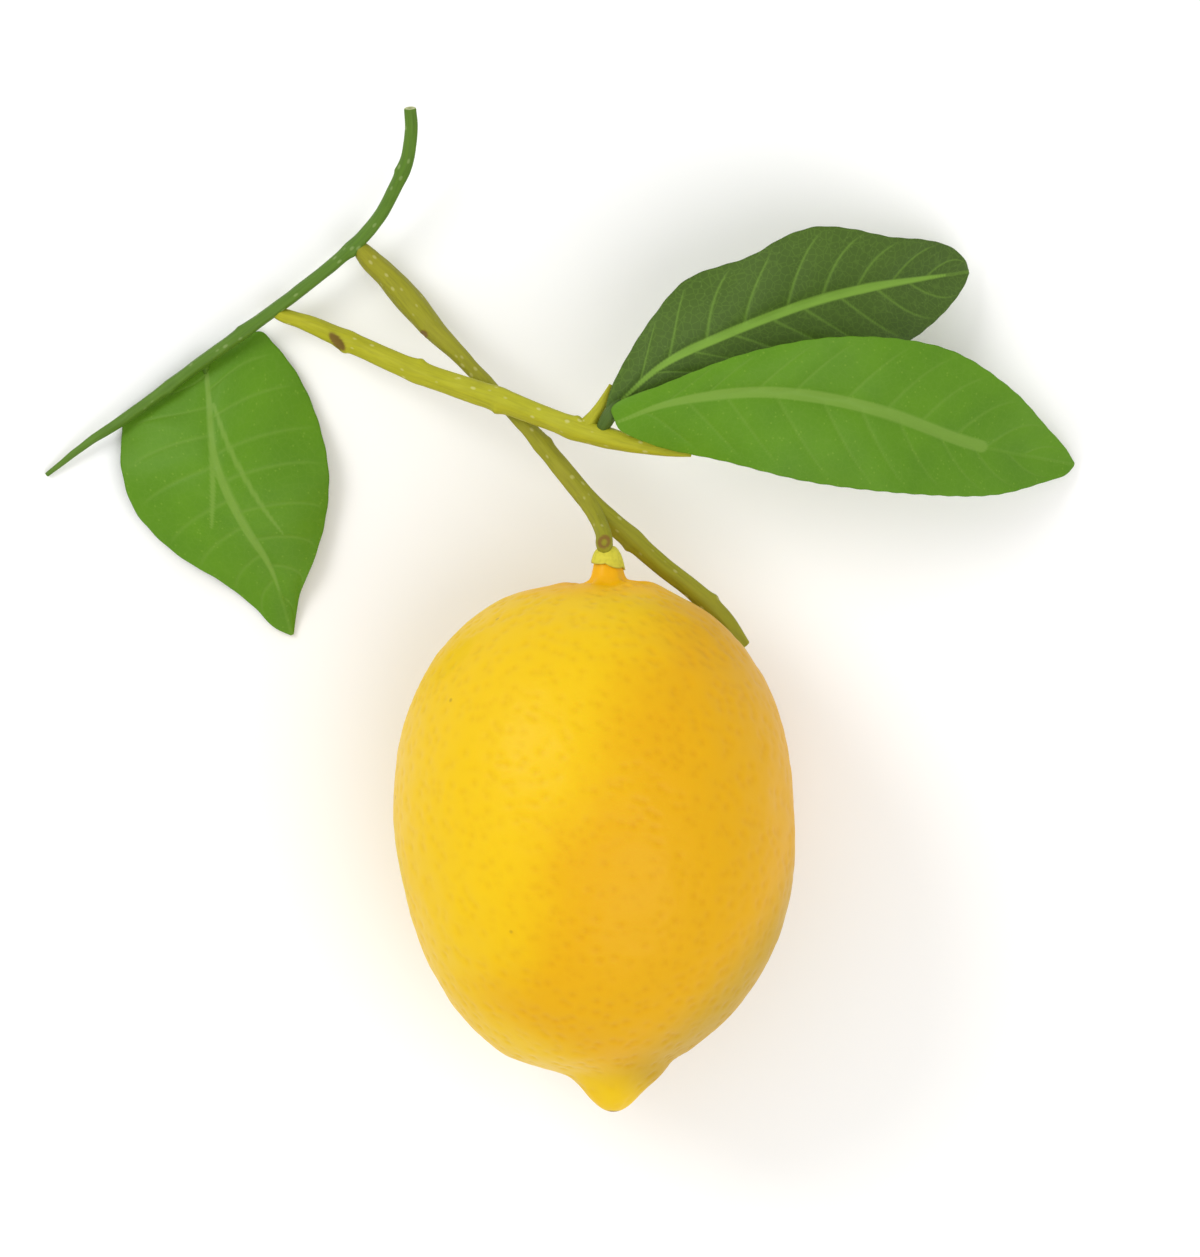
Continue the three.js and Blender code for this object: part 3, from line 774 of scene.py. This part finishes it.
leafRight = {
    "base": [3.4, 61.6, 27.0], "tip": [74.8, 55.2, 1.2],
    "midrib": [
        [11.8, 64.6, 29.4], [24.6, 66.3, 30.4], [34.5, 65.6, 28.7], [45.2, 63.2, 24.9], [59.1, 58.3, 15],
    ],
    "left": [
        [2.9, 63.7, 27.1], [10.8, 67.3, 29.4], [24.7, 72.4, 32], [39.1, 74.7, 30.5], [54.6, 72.9, 23],
        [64.7, 66.8, 15], [70.6, 60.6, 7.5], [73.3, 57.6, 4],
    ],
    "right": [
        [4.0, 60.7, 27.0], [9.7, 58.2, 27.4], [20, 55.9, 28.6], [33.2, 52.7, 28], [50.9, 50.7, 19.5],
        [62.6, 50.7, 11], [70.2, 52.7, 4.6], [73.6, 53.9, 2.2],
    ],
    "stalk": [[6.6, 60, 25, 0.55], [7, 61.3, 26.2, 0.55], [8.6, 62.6, 27.4, 0.45]],
    "sideVeins": [], "stroke": (0.01, 0.765), "strokeHalf": (0.25, 0.8, 0.95, 0.95, 0.95),
    "pairs": 10, "lean": 0.1, "wave": 0.7, "seed": 13,
}
bladeDetail = {
    "rows": 250, "across": 101, "thickness": 0.34, "endWidth": 0.25,
    "ribWidth": 0.3, "ribShare": 0.3, "veinHalf": 0.22, "veinShare": 0.42,
    "sideHalf": 0.33, "sideShare": 0.85, "valleyHalf": 1.3,
    # lateral veins: where along the midrib they start, over how much of it, and how much they curl forward
    "veinsFrom": 0.05, "veinsOver": 0.86, "veinScatter": 0.008, "veinCurl": 0.03,
    "groove": 0.22, "veinGroove": 0.09, "ribBelow": 0.5, "veinBelow": 0.12,
    "arch": 0.05, "waves": 3.2, "swell": 0.25, "swellSize": 9.0, "quilt": 0.12,
    "teeth": 0.05, "toothLength": 3.3, "lowest": 0.05,
}


def distanceToPath(places, path):
    # distance in plan from every place to the nearest point of the path, and that point's share of the path
    gaps = np.linalg.norm(places[..., None, :2] - path[:, :2], axis=-1)
    nearest = gaps.argmin(axis=-1)
    return gaps.min(axis=-1), nearest / (len(path) - 1)


def lateralVeins(leaf, t, s, width, length):
    # each pair starts at a point of the midrib and runs out and forward, t = start + lean |s| + curl |s|^3.
    # Gives the share of the nearest vein and a wider one for the valleys of the quilting
    detail = bladeDetail
    spacing = detail["veinsOver"] / leaf["pairs"]
    scatter = detail["veinScatter"]
    rng = np.random.default_rng(leaf["seed"])
    vein, valley = np.zeros_like(t), np.zeros_like(t)
    for pair in range(leaf["pairs"]):
        for handed, offset in ((1, 0.0), (-1, 0.5)):
            start = detail["veinsFrom"] + (pair + offset) * spacing + rng.uniform(-scatter, scatter)
            reach = np.abs(s)
            gap = (t - start - leaf["lean"] * reach - detail["veinCurl"] * reach ** 3) * length * 0.8
            onSide = smoothStep(s * handed * width, 0.0, 0.6)
            fade = onSide * (1 - smoothStep(reach, 0.75, 0.97))
            half = detail["veinHalf"] * (1.15 - 0.6 * reach)
            vein = np.maximum(vein, fade * np.exp(-(gap / half) ** 2))
            valley = np.maximum(valley, fade * np.exp(-(gap / detail["valleyHalf"]) ** 2))
    return vein, valley


def bladeGrid(leaf, share):
    # s runs over the top from the right edge to the left, 1 to -1, and back underneath, and t along the leaf:
    # place = midrib(t) + |s| (edge(t) - midrib(t)), with fine teeth at the edge, height still to be added
    detail = bladeDetail
    middle, length = evenSteps([leaf["base"], *leaf["midrib"], leaf["tip"]], share)
    leftEdge = evenSteps([leaf["base"], *leaf["left"], leaf["tip"]], share)[0]
    rightEdge = evenSteps([leaf["base"], *leaf["right"], leaf["tip"]], share)[0]
    side = np.cross(np.gradient(middle, axis=0), upward)
    side = side / np.linalg.norm(side, axis=1, keepdims=True)
    overTop = np.linspace(1, -1, detail["across"])
    s = np.concatenate([overTop, overTop[::-1]])[None, :] + 0 * share[:, None]
    t = share[:, None] + 0 * s

    edge = np.where(s[..., None] < 0, leftEdge[:, None, :], rightEdge[:, None, :])
    across = edge - middle[:, None, :]
    width = np.linalg.norm(across[..., :2], axis=-1)
    reach = np.abs(s)
    teeth = detail["teeth"] * reach ** 8 * np.sin(2 * np.pi * t * length / detail["toothLength"])
    teeth = teeth * np.sin(np.pi * t) ** 0.5
    places = middle[:, None, :] + across * (reach + teeth / np.maximum(width, 0.5))[..., None]
    places = places + side[:, None, :] * (s * detail["endWidth"])[..., None]
    return places, middle, length, width, s, t


def paintedVeins(leaf, places, middle, fromRib, vein, valley):
    # the largest of the stroke along the midrib, a thin line beyond it, the lateral veins and the side
    # strokes, along which the valleys of the quilting deepen too
    detail = bladeDetail
    first, last = (int(end * detail["rows"]) for end in leaf["stroke"])
    fromStroke, strokeShare = distanceToPath(places, middle[first:last:2])
    half = np.interp(strokeShare, np.linspace(0, 1, len(leaf["strokeHalf"])), leaf["strokeHalf"])
    stroke = 1 - smoothStep(fromStroke, half - 0.15, half + 0.15)
    thinLine = detail["ribShare"] * (1 - smoothStep(fromRib, detail["ribWidth"] / 2, 0.4))
    painted = np.maximum(np.maximum(stroke, thinLine), detail["veinShare"] * vein)
    for path in leaf["sideVeins"]:
        line = evenSteps(path, np.linspace(0, 1, 80))[0]
        gap, lineShare = distanceToPath(places, line)
        half = detail["sideHalf"] * np.sin(np.pi * (0.12 + 0.88 * lineShare)) ** 0.5 + 0.08
        painted = np.maximum(painted, detail["sideShare"] * (1 - smoothStep(gap, half * 0.7, half * 1.3)))
        valley = np.maximum(valley, 0.6 * np.exp(-gap ** 2))
    return painted, valley


def leafTubes(leaf):
    # the flat tube of the blade: it arches between midrib and edge, arch width sin(pi |s|), waves towards the
    # edge, wave |s|^3 sin(2 pi waves t), and is quilted between its veins; and the tube of its stalk
    detail = bladeDetail
    share = np.linspace(0, 1, detail["rows"])
    places, middle, length, width, s, t = bladeGrid(leaf, share)
    reach = np.abs(s)
    top = np.arange(s.shape[1]) < detail["across"]
    below = np.where(top, 0.0, 1.0)[None, :] + 0 * t
    fromRib = distanceToPath(places, middle[::2])[0]
    vein, valley = lateralVeins(leaf, t, s, width, length)
    painted, valley = paintedVeins(leaf, places, middle, fromRib, vein, valley)

    fullness = np.sin(np.pi * t) ** 0.5
    wavePhase = 2 * np.pi * (t * detail["waves"] + 0.25 * np.sign(s)) + leaf["seed"]
    height = detail["arch"] * width * np.sin(np.pi * reach) + leaf["wave"] * reach ** 3 * np.sin(wavePhase)
    height = height + detail["swell"] * softNoise(places, detail["swellSize"], leaf["seed"])
    height = (height + detail["quilt"] * (0.5 - valley)) * fullness
    thickness = detail["thickness"] * (1 - 0.55 * reach ** 6)
    groove = detail["groove"] * np.exp(-(fromRib / 1.1) ** 2) * fullness
    rib = detail["ribBelow"] * np.exp(-(fromRib / 0.6) ** 2) * (1 - 0.8 * t)
    topSide = thickness / 2 - groove - detail["veinGroove"] * vein
    lowSide = -thickness / 2 - rib - detail["veinBelow"] * vein
    places[..., 2] = np.maximum(places[..., 2] + height + np.where(top, topSide, lowSide), detail["lowest"])
    straight = np.stack([s * width, t * length, below], axis=-1)
    marks = np.stack([painted, below * 0.75, 0 * t], axis=-1)
    blade = {"rings": places, "straight": straight * mm, "marks": marks}
    stalk = stemTube(leaf["stalk"], [], [], leaf["seed"])
    stalk["material"] = 1
    return [blade, stalk]


def makeLeaf(name, node, leaf, skin, stalkBark):
    addPiece(name, node, leafTubes(leaf), [skin, stalkBark])


studio = {
    "aim": (1.0, 29.7, 30.5), "viewHeight": 194.8, "lens": 1400.0, "sensor": 36.0,
    "keyPlace": (-0.75, 0.5, 0.9), "keySize": 0.6, "keyPower": 5.0,
    "fillPlace": (0.5, -0.55, 1.3), "fillSize": 1.4, "fillPower": 8.5,
    "air": 0.74, "floorColour": "#fbfbfa", "floorHalf": 12.0,
}


def makeStudio():
    camera = bpy.data.objects.new("camera", bpy.data.cameras.new("camera"))
    camera.data.lens = studio["lens"]
    camera.data.sensor_width = studio["sensor"]
    camera.data.clip_end = 100
    x, y, z = (value * mm for value in studio["aim"])
    camera.location = (x, y, z + studio["viewHeight"] * mm * studio["lens"] / studio["sensor"])
    bpy.context.scene.collection.objects.link(camera)
    bpy.context.scene.camera = camera

    for name in ("key", "fill"):
        light = bpy.data.lights.new(name, "AREA")
        light.shape = "DISK"
        light.size = studio[name + "Size"]
        light.energy = studio[name + "Power"]
        lamp = bpy.data.objects.new(name, light)
        place = np.array(studio[name + "Place"])
        lamp.location = place
        tilt = np.arctan2(np.hypot(place[0], place[1]), place[2])
        lamp.rotation_euler = (tilt, 0, np.arctan2(place[0], -place[1]))
        bpy.context.scene.collection.objects.link(lamp)

    world = bpy.data.worlds.new("studioAir")
    world.use_nodes = True
    background = world.node_tree.nodes["Background"]
    background.inputs["Color"].default_value = (1, 1, 1, 1)
    background.inputs["Strength"].default_value = studio["air"]
    bpy.context.scene.world = world
    bpy.context.scene.view_settings.view_transform = "Standard"

    half = studio["floorHalf"]
    corners = [(-half, -half, 0), (half, -half, 0), (half, half, 0), (-half, half, 0)]
    mesh = bpy.data.meshes.new("floor")
    mesh.from_pydata(corners, [], [(0, 1, 2, 3)])
    tabletop = {"Roughness": 0.9, "Base Color": hexColour(studio["floorColour"])}
    mesh.materials.append(newMaterial("matteWhiteTable", tabletop)[0])
    floor = bpy.data.objects.new("floor", mesh)
    bpy.context.scene.collection.objects.link(floor)
    print("camera, lights and floor are in place")


makeStudio()
makeLemon(makePeel())
makeCalyx(makeCalyxSkin())
greenBark = makeBark("green")
makeStems(makeBark("olive"), makeBark("young"), greenBark)
lightLeaf = makeLeafSkin("light")
makeLeaf("leaf_left_blade", "leaf_left", leafLeft, lightLeaf, greenBark)
# the dark leaf gets the darker, painted-shade copies of the leaf skin and the stalk bark
makeLeaf("leaf_dark_blade", "leaf_dark", leafDark, makeLeafSkin("dark"), makeBark("shadedGreen"))
makeLeaf("leaf_right_blade", "leaf_right", leafRight, lightLeaf, greenBark)
